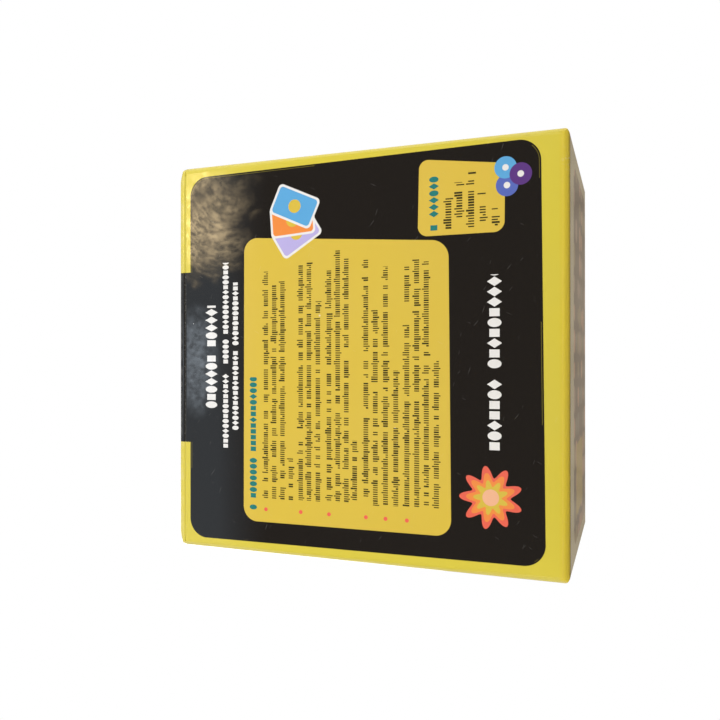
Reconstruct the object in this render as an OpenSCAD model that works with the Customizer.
// Flip-lid card game box: a rigid cardboard tray with a paper-hinged lid, a magnetic
// closing flap, and the cards, leaflet, sand timer and die that it holds.
// The box stands on z = 0, centred on x and y. Its front faces -Y and its back faces +Y.

/* [Cards] */
// Number of cards
card_count = 55; // [20:1:55]
// Width of a card
card_w = 114; // [90:1:160]
// Height of a card
card_h = 106; // [95:1:160]
// Thickness of a card
card_t = 0.65; // [0.3:0.05:0.9]
// Air between two cards
card_air = 0.05; // [0.04:0.01:0.1]
// Corner radius of a card
card_r = 5; // [1:0.5:10]

/* [Room for the contents] */
// Gap on each side of the cards
card_side = 2.9; // [1:0.1:6]
// Height left free over the cards under the shut lid
headroom = 13.6; // [6:0.1:30]
// Gap in front of the cards, the leaflet and the divider
stack_gap = 0.5; // [0.3:0.1:1]
// Gap in front of and behind the widest piece in the bay
bay_gap = 1.35; // [0.5:0.05:6]
// Gap under each loose piece that stands on the floor
seat_gap = 0.1; // [0.05:0.05:0.2]

/* [Box] */
// Thickness of the greyboard in every panel
board_t = 2.2; // [1.8:0.1:3]
// Thickness of the printed paper and of the lining paper
paper_t = 0.2; // [0.1:0.05:0.3]
// Radius of the tray's outer edges and of the lid's corners
edge_r = 2.2; // [1.2:0.1:3]
// Radius of the lid's and the flap's outer edges
lid_edge_r = 1.8; // [0.6:0.1:1.8]
// How far the printed paper turns in over the tray's rim
turn_in = 14; // [6:1:20]
// Width of the printed paper turned in on the inner side of the lid and the flap
lid_margin = 5; // [2:0.5:12]

/* [Hinges] */
// Gap between the tray's rim and the shut lid
crease_gap = 0.1; // [0.05:0.05:0.4]

/* [Flap] */
// Height of the closing flap
flap_h = 45; // [35:1:70]
// How far the flap's ends stand back from the box's sides
flap_side = 0.5; // [0.2:0.1:10]
// Gap between the shut flap and the front wall
flap_gap = 0.1; // [0.05:0.05:0.4]
// Diameter of a closing magnet
magnet_d = 10; // [6:1:14]
// Thickness of a closing magnet
magnet_t = 1.5; // [1:0.1:1.6]
// Distance of the magnets' centres from the flap's ends
magnet_in = 24; // [12:1:36]
// Distance of the magnets' centres above the flap's lower edge
magnet_rise = 12; // [9:1:20]
// Diameter of a steel keeper plate in the front wall
keeper_d = 12; // [8:1:16]
// Thickness of a steel keeper plate
keeper_t = 0.8; // [0.5:0.1:1.2]
// Clearance around a magnet or a keeper plate in its pocket
pocket_gap = 0.05; // [0.02:0.01:0.1]

/* [Corner stays] */
// Width of each leg of a paper corner stay
stay_leg = 14; // [8:1:20]
// Thickness of a corner stay
stay_t = 0.15; // [0.1:0.05:0.3]
// Distance of a corner stay from the tray's underside and from its rim
stay_end = 8; // [4:1:20]

/* [Rules leaflet] */
// How much narrower than a card the leaflet is on each side
leaflet_side = 3; // [0:0.5:20]
// How much lower than a card the leaflet is
leaflet_drop = 8; // [1:1:40]
// Number of panels that the leaflet is folded into
leaflet_panels = 4; // [2:1:6]
// Thickness of the leaflet's paper
leaflet_t = 0.15; // [0.1:0.05:0.2]
// Air between two folded panels
leaflet_air = 0.25; // [0.1:0.05:0.3]

/* [Divider] */
// Thickness of the cardboard divider
divider_t = 0.8; // [0.5:0.1:1.5]
// How much lower than a card the divider is
divider_drop = 6; // [1:1:40]
// Gap beside and behind the divider
divider_gap = 0.3; // [0.2:0.1:0.6]

/* [Sand timer] */
// Height over both caps
timer_h = 72; // [60:1:90]
// Diameter of a cap
timer_d = 24; // [18:1:30]
// Gap between the timer and the side of its bay
timer_side = 8.8; // [1:0.1:20]
// Thickness of a cap
timer_cap_t = 5; // [3:0.5:8]
// Bevel around the flat ends of a cap
timer_bevel = 1; // [0.4:0.1:1.4]
// Depth of the socket in a cap that holds the sleeve and the glass
timer_socket = 2; // [1:0.25:2.5]
// Width of a cap's rim around the sleeve
timer_lip = 1.5; // [1.2:0.1:2.5]
// Wall of the clear sleeve
sleeve_t = 0.9; // [0.5:0.1:1.2]
// Gap between the sleeve and the glass at its widest
glass_side = 0.8; // [0.2:0.1:2]
// Outer diameter of the glass at its neck
neck_d = 3.4; // [2.6:0.2:5]
// Wall of the glass
glass_t = 0.8; // [0.5:0.1:1]
// Height of the sand at the glass
sand_h = 17; // [6:1:20]
// Height of the heap in the middle of the sand
sand_heap = 3; // [1:0.5:4]
// Gap between the timer's own pieces
timer_gap = 0.05; // [0.02:0.01:0.1]

/* [Die] */
// Distance between two opposite faces of the eight-sided die
die_h = 16; // [12:0.5:18]
// Diameter of the ball that rounds the die's points
die_round = 25; // [20:0.5:27]
// Gap between the die and the side of its bay
die_side = 12.3; // [1:0.1:20]

/* [Hidden] */

$fn = 64;
// An overshoot that lets a cut run clear of the faces it cuts
over = 1;

// Layers of one panel: printed paper, board, then printed paper or lining
wall_t = paper_t + board_t + paper_t;
// Depth from the printed paper to the inner face of the board
board_in = paper_t + board_t;

// Widths along X
inner_w = card_w + 2 * card_side;
box_w = inner_w + 2 * wall_t;
flap_w = box_w - 2 * flap_side;

// Depths along Y of what stands in the tray
card_pitch = card_t + card_air;
pack_d = card_count * card_pitch - card_air;
leaflet_pitch = leaflet_t + leaflet_air;
leaflet_d = leaflet_panels * leaflet_pitch - leaflet_air;
bay_d = max(timer_d, die_round) + 2 * bay_gap;
box_d = 2 * wall_t + 3 * stack_gap + pack_d + leaflet_d + divider_t + bay_d;

// Places along Y, from the flap's face to the back wall
total_d = box_d + wall_t + flap_gap;
flap_face_y = -total_d / 2;
back_y = total_d / 2;
front_y = back_y - box_d;
tray_y = (back_y + front_y) / 2;
pack_y = front_y + wall_t + stack_gap;
leaflet_y = pack_y + pack_d + stack_gap;
divider_y = leaflet_y + leaflet_d + stack_gap;
bay_y = divider_y + divider_t;
inner_back_y = back_y - wall_t;
bay_mid_y = (bay_y + inner_back_y) / 2;

// Heights along Z
seat_z = wall_t + seat_gap;
rim_z = seat_z + card_h + headroom;
lid_z = rim_z + crease_gap;
box_h = lid_z + wall_t;
flap_top_z = rim_z;
magnet_z = flap_top_z - flap_h + magnet_rise;
magnet_x = flap_w / 2 - magnet_in;

// The side of the bay is the inner face of the divider's wing
bay_side_x = inner_w / 2 - divider_gap - divider_t;

// The sand timer's glass and sleeve stand in the sockets of its caps
sleeve_d = timer_d - 2 * timer_lip;
glass_d = sleeve_d - 2 * sleeve_t - 2 * glass_side;
socket_z = timer_cap_t - timer_socket;
glass_h = timer_h - 2 * socket_z - 2 * timer_gap;
// Steps along the glass and along the sand
glass_steps = 28;
sand_steps = 8;

// Angle between two neighbouring face normals of an octahedron
octa_angle = acos(1 / 3);

// ---------------------------------------------------------------- shared shapes

// A rectangle on the line y = 0, with its lower and upper corners rounded
module panel_outline(w, h, r_low, r_high) {
    translate([-w / 2, r_low])
        square([w, h - r_low - r_high]);
    if (r_low > 0)
        corner_band(w, h, r_low, r_low);
    if (r_high > 0)
        corner_band(w, h, r_high, h - r_high);
}

// The pair of round corners of radius r at height y, and the strip between them
module corner_band(w, h, r, y) {
    for (side = [-1, 1])
        translate([side * (w / 2 - r), y])
            circle(r);
    translate([-w / 2 + r, y - r])
        square([w - 2 * r, 2 * r]);
}

// A rectangle centred on both axes with four round corners
module plan_outline(w, d, r) {
    translate([0, -d / 2])
        panel_outline(w, d, r, r);
}

// A block with upright edges of radius r_plan, and its lower and upper edges rounded.
// It stands on z = 0, centred on x and y.
module rounded_block(w, d, h, r_plan, r_low, r_high) {
    intersection() {
        linear_extrude(h)
            plan_outline(w, d, r_plan);
        rotate([90, 0, 90])
            translate([0, 0, -w / 2])
                linear_extrude(w)
                    panel_outline(d, h, r_low, r_high);
        rotate([90, 0, 0])
            translate([0, 0, -d / 2])
                linear_extrude(d)
                    panel_outline(w, h, r_low, r_high);
    }
}

// The tray's outer form, taken in by inset, open above z = top
module tray_form(inset, top) {
    translate([0, tray_y, inset])
        rounded_block(
            box_w - 2 * inset, box_d - 2 * inset, top - inset,
            edge_r - inset, edge_r - inset, 0
        );
}

// The tray's plan, taken in by inset
module tray_plan(inset) {
    translate([0, tray_y])
        plan_outline(box_w - 2 * inset, box_d - 2 * inset, edge_r - inset);
}

// A box inside the tray's walls with square corners, taken in by inset
module tray_core(inset, low, high) {
    translate([-box_w / 2 + inset, front_y + inset, low])
        cube([box_w - 2 * inset, box_d - 2 * inset, high - low]);
}

// The space from y = low to y = high, over the whole box
module y_slice(low, high) {
    translate([-box_w, low, -over])
        cube([2 * box_w, high - low, box_h + 2 * over]);
}

// The body of a wrapped panel, lying with its printed face up, taken in by inset
module plate_form(w, l, r_plan, inset) {
    translate([0, 0, inset])
        rounded_block(
            w - 2 * inset, l - 2 * inset, wall_t - 2 * inset,
            r_plan - inset, 0, lid_edge_r - inset
        );
}

// The lining of a wrapped panel
module plate_lining(w, l) {
    translate([-w / 2 + lid_margin, -l / 2 + lid_margin, 0])
        cube([w - 2 * lid_margin, l - 2 * lid_margin, paper_t]);
}

// The printed paper of a wrapped panel, turned in around the lining
module plate_wrap(w, l, r_plan) {
    difference() {
        plate_form(w, l, r_plan, 0);
        plate_form(w, l, r_plan, paper_t);
        translate([-w / 2 + lid_margin, -l / 2 + lid_margin, -over])
            cube([w - 2 * lid_margin, l - 2 * lid_margin, paper_t + 2 * over]);
    }
}

// Puts a lying panel where the shut lid is
module at_lid() {
    translate([0, 0, lid_z])
        children();
}

// Puts a lying panel where the shut flap is, with its printed face to the front
module at_flap() {
    translate([0, flap_face_y + wall_t, flap_top_z - flap_h / 2])
        rotate([90, 0, 0])
            children();
}

// Two upright discs side by side, from y = low to y = low + t
module disc_pair(d, low, t) {
    for (side = [-1, 1])
        translate([side * magnet_x, low + t, magnet_z])
            rotate([90, 0, 0])
                cylinder(d = d, h = t);
}

// ---------------------------------------------------------------- tray

// The four upright corners, as L-shaped bands from the tray's plan taken in by outer
// to the inner face of the paper stays
module stay_bands(outer) {
    translate([0, 0, stay_end])
        linear_extrude(rim_z - 2 * stay_end)
            intersection() {
                difference() {
                    tray_plan(outer);
                    tray_plan(paper_t + stay_t);
                }
                for (x_side = [-1, 1], y_side = [-1, 1])
                    translate([x_side * box_w / 2, tray_y + y_side * box_d / 2])
                        square(2 * stay_leg, center = true);
            }
}

// A wall board: the part of the boards' form inside the box from low to high,
// thinner by a stay where the stays lie
module wall_board(low, high) {
    difference() {
        intersection() {
            tray_form(paper_t, rim_z - paper_t);
            translate(low)
                cube(high - low);
        }
        stay_bands(-over);
    }
}

module bottom_board() {
    color("#9a948a")
        intersection() {
            tray_form(paper_t, rim_z - paper_t);
            translate([-box_w, -box_d, 0])
                cube([2 * box_w, 2 * box_d, board_in]);
        }
}

module front_board() {
    color("#9a948a")
        difference() {
            wall_board([-box_w, front_y, board_in], [box_w, front_y + board_in, rim_z]);
            disc_pair(
                keeper_d + 2 * pocket_gap, front_y + paper_t - over,
                over + keeper_t + 2 * pocket_gap
            );
        }
}

module back_board() {
    color("#9a948a")
        wall_board([-box_w, back_y - board_in, board_in], [box_w, back_y, rim_z]);
}

module side_board(side) {
    x_low = side < 0 ? -box_w : box_w / 2 - board_in;
    x_high = side < 0 ? -box_w / 2 + board_in : box_w;
    color("#9a948a")
        wall_board([x_low, front_y + board_in, board_in], [x_high, back_y - board_in, rim_z]);
}

module left_board() {
    side_board(-1);
}

module right_board() {
    side_board(1);
}

module corner_stays() {
    color("#c9b48a")
        stay_bands(paper_t);
}

module keeper_plates() {
    color("#b4b6b8")
        disc_pair(keeper_d, front_y + paper_t + pocket_gap, keeper_t);
}

// The printed paper on the outside of the tray, as one open shell
module tray_paper() {
    difference() {
        tray_form(0, rim_z);
        tray_form(paper_t, rim_z + over);
    }
}

// The flat of the underside, between its rounded edges
module underside_flat() {
    translate([-box_w / 2 + edge_r, front_y + edge_r, -over])
        cube([box_w - 2 * edge_r, box_d - 2 * edge_r, over + board_in]);
}

// The printed paper over the rim, and turned in on the walls' inner faces
module rim_paper() {
    difference() {
        union() {
            translate([0, 0, rim_z - paper_t])
                linear_extrude(paper_t)
                    tray_plan(paper_t / 2);
            tray_core(board_in, rim_z - turn_in, rim_z - paper_t / 2);
        }
        tray_core(wall_t, -over, rim_z + over);
    }
}

module side_wrap() {
    color("#d8c740")
        intersection() {
            union() {
                difference() {
                    tray_paper();
                    underside_flat();
                }
                rim_paper();
            }
            y_slice(-box_d, inner_back_y);
        }
}

module back_sheet() {
    color("#d8c740")
        intersection() {
            difference() {
                tray_paper();
                underside_flat();
            }
            y_slice(inner_back_y, box_d);
        }
}

module bottom_sheet() {
    color("#26262a")
        translate([-box_w / 2 + edge_r, front_y + edge_r, 0])
            cube([box_w - 2 * edge_r, box_d - 2 * edge_r, paper_t]);
}

// The paper strip on the back wall's rim and on the inside just below it
module hinge_strip() {
    color("#2b2b2f") {
        translate([0, 0, rim_z - paper_t])
            linear_extrude(paper_t)
                intersection() {
                    tray_plan(paper_t);
                    translate([-box_w, inner_back_y])
                        square([2 * box_w, wall_t]);
                }
        translate([-inner_w / 2, inner_back_y, rim_z - turn_in])
            cube([inner_w, paper_t, turn_in]);
    }
}

module tray_lining() {
    color("#efece4")
        difference() {
            tray_core(board_in, board_in, rim_z - turn_in);
            tray_core(wall_t, wall_t, rim_z + over);
        }
}

// A cardboard channel: one panel across the box, and two wings back to the back wall
module divider() {
    divider_w = inner_w - 2 * divider_gap;
    divider_d = inner_back_y - divider_gap - divider_y;
    divider_h = card_h - divider_drop;
    color("#e6e1d6")
        translate([-divider_w / 2, divider_y, seat_z])
            difference() {
                cube([divider_w, divider_d, divider_h]);
                translate([divider_t, divider_t, -over])
                    cube([divider_w - 2 * divider_t, divider_d, divider_h + 2 * over]);
            }
}

// ---------------------------------------------------------------- lid and flap

module lid_board() {
    color("#9a948a")
        at_lid()
            plate_form(box_w, total_d, edge_r, paper_t);
}

module lid_wrap() {
    color("#d8c740")
        at_lid()
            plate_wrap(box_w, total_d, edge_r);
}

module lid_lining() {
    color("#efece4")
        at_lid()
            plate_lining(box_w, total_d);
}

module flap_board() {
    color("#9a948a")
        difference() {
            at_flap()
                plate_form(flap_w, flap_h, edge_r, paper_t);
            disc_pair(
                magnet_d + 2 * pocket_gap, flap_face_y + board_in - magnet_t - 2 * pocket_gap,
                magnet_t + 2 * pocket_gap + over
            );
        }
}

module flap_wrap() {
    color("#d8c740")
        at_flap()
            plate_wrap(flap_w, flap_h, edge_r);
}

module flap_lining() {
    color("#efece4")
        at_flap()
            plate_lining(flap_w, flap_h);
}

module flap_magnets() {
    color("#c4c6c8")
        disc_pair(magnet_d, flap_face_y + board_in - magnet_t - pocket_gap, magnet_t);
}

// ---------------------------------------------------------------- contents

module question_cards() {
    color("#f4f1e8")
        for (i = [0 : card_count - 1])
            translate([0, pack_y + i * card_pitch + card_t, seat_z])
                rotate([90, 0, 0])
                    linear_extrude(card_t)
                        panel_outline(card_w, card_h, card_r, card_r);
}

// A sheet folded to and fro, standing on its lower edges
module rules_leaflet() {
    leaflet_w = card_w - 2 * leaflet_side;
    leaflet_h = card_h - leaflet_drop;
    color("#f7f5ef")
        translate([-leaflet_w / 2, leaflet_y, seat_z])
            linear_extrude(leaflet_h) {
                for (i = [0 : leaflet_panels - 1])
                    translate([0, i * leaflet_pitch])
                        square([leaflet_w, leaflet_t]);
                for (i = [0 : leaflet_panels - 2])
                    translate([i % 2 == 0 ? leaflet_w - leaflet_t : 0, i * leaflet_pitch])
                        square([leaflet_t, leaflet_pitch + leaflet_t]);
            }
}

module at_timer() {
    translate([-bay_side_x + timer_side + timer_d / 2, bay_mid_y, seat_z])
        children();
}

// One cap of the timer, with its socket facing up
module timer_cap() {
    difference() {
        union() {
            translate([0, 0, timer_bevel])
                cylinder(d = timer_d, h = timer_cap_t - 2 * timer_bevel);
            cylinder(d1 = timer_d - 2 * timer_bevel, d2 = timer_d, h = timer_bevel);
            translate([0, 0, timer_cap_t - timer_bevel])
                cylinder(d1 = timer_d, d2 = timer_d - 2 * timer_bevel, h = timer_bevel);
        }
        translate([0, 0, socket_z])
            cylinder(d = sleeve_d + 2 * timer_gap, h = timer_socket + over);
    }
}

module timer_bottom_cap() {
    color("#2a2a30")
        at_timer()
            timer_cap();
}

module timer_top_cap() {
    color("#2a2a30")
        at_timer()
            translate([0, 0, timer_h])
                mirror([0, 0, 1])
                    timer_cap();
}

module timer_sleeve() {
    color("#dfeaf0")
        at_timer()
            translate([0, 0, socket_z + timer_gap])
                difference() {
                    cylinder(d = sleeve_d, h = glass_h);
                    translate([0, 0, -over])
                        cylinder(d = sleeve_d - 2 * sleeve_t, h = glass_h + 2 * over);
                }
}

// Outer radius of the glass at height z over its lower end
function glass_radius(z) =
    let (u = abs(2 * z / glass_h - 1))
        neck_d / 2 + (glass_d - neck_d) / 2 * sin(90 * pow(u, 0.8));

// Side of the glass up to the height top, in a number of steps, taken in by inset
function glass_line(top, steps, inset) = [
    for (i = [0 : steps])
        let (z = top * i / steps)
            [glass_radius(z) - inset, z]
];

module timer_glass() {
    outside = glass_line(glass_h, glass_steps, 0);
    inside = glass_line(glass_h, glass_steps, glass_t);
    color("#e8f1f4")
        at_timer()
            translate([0, 0, socket_z + timer_gap])
                rotate_extrude()
                    polygon(concat(outside, [for (i = [0 : glass_steps]) inside[glass_steps - i]]));
}

// The sand in the lower half of the glass, heaped in the middle
module timer_sand() {
    edge = glass_line(sand_h, sand_steps, glass_t + timer_gap);
    color("#c8553a")
        at_timer()
            translate([0, 0, socket_z + timer_gap])
                rotate_extrude()
                    polygon(concat([[0, 0]], edge, [[0, sand_h + sand_heap]]));
}

// The space between two opposite slanted faces of the die, at an angle of turn
module die_slab(turn) {
    rotate([0, 0, turn])
        rotate([0, octa_angle, 0])
            cube([4 * die_h, 4 * die_h, die_h], center = true);
}

// An octahedron that lies on one face, its points rounded off by a ball
module eight_sided_die() {
    color("#3f4fb0")
        translate([bay_side_x - die_side - die_round / 2, bay_mid_y, seat_z + die_h / 2])
            intersection() {
                cube([4 * die_h, 4 * die_h, die_h], center = true);
                die_slab(0);
                die_slab(120);
                die_slab(240);
                sphere(d = die_round);
            }
}

bottom_board();
front_board();
back_board();
left_board();
right_board();
corner_stays();
keeper_plates();
side_wrap();
back_sheet();
bottom_sheet();
hinge_strip();
tray_lining();
divider();
lid_board();
lid_wrap();
lid_lining();
flap_board();
flap_wrap();
flap_lining();
flap_magnets();
question_cards();
rules_leaflet();
timer_top_cap();
timer_bottom_cap();
timer_sleeve();
timer_glass();
timer_sand();
eight_sided_die();
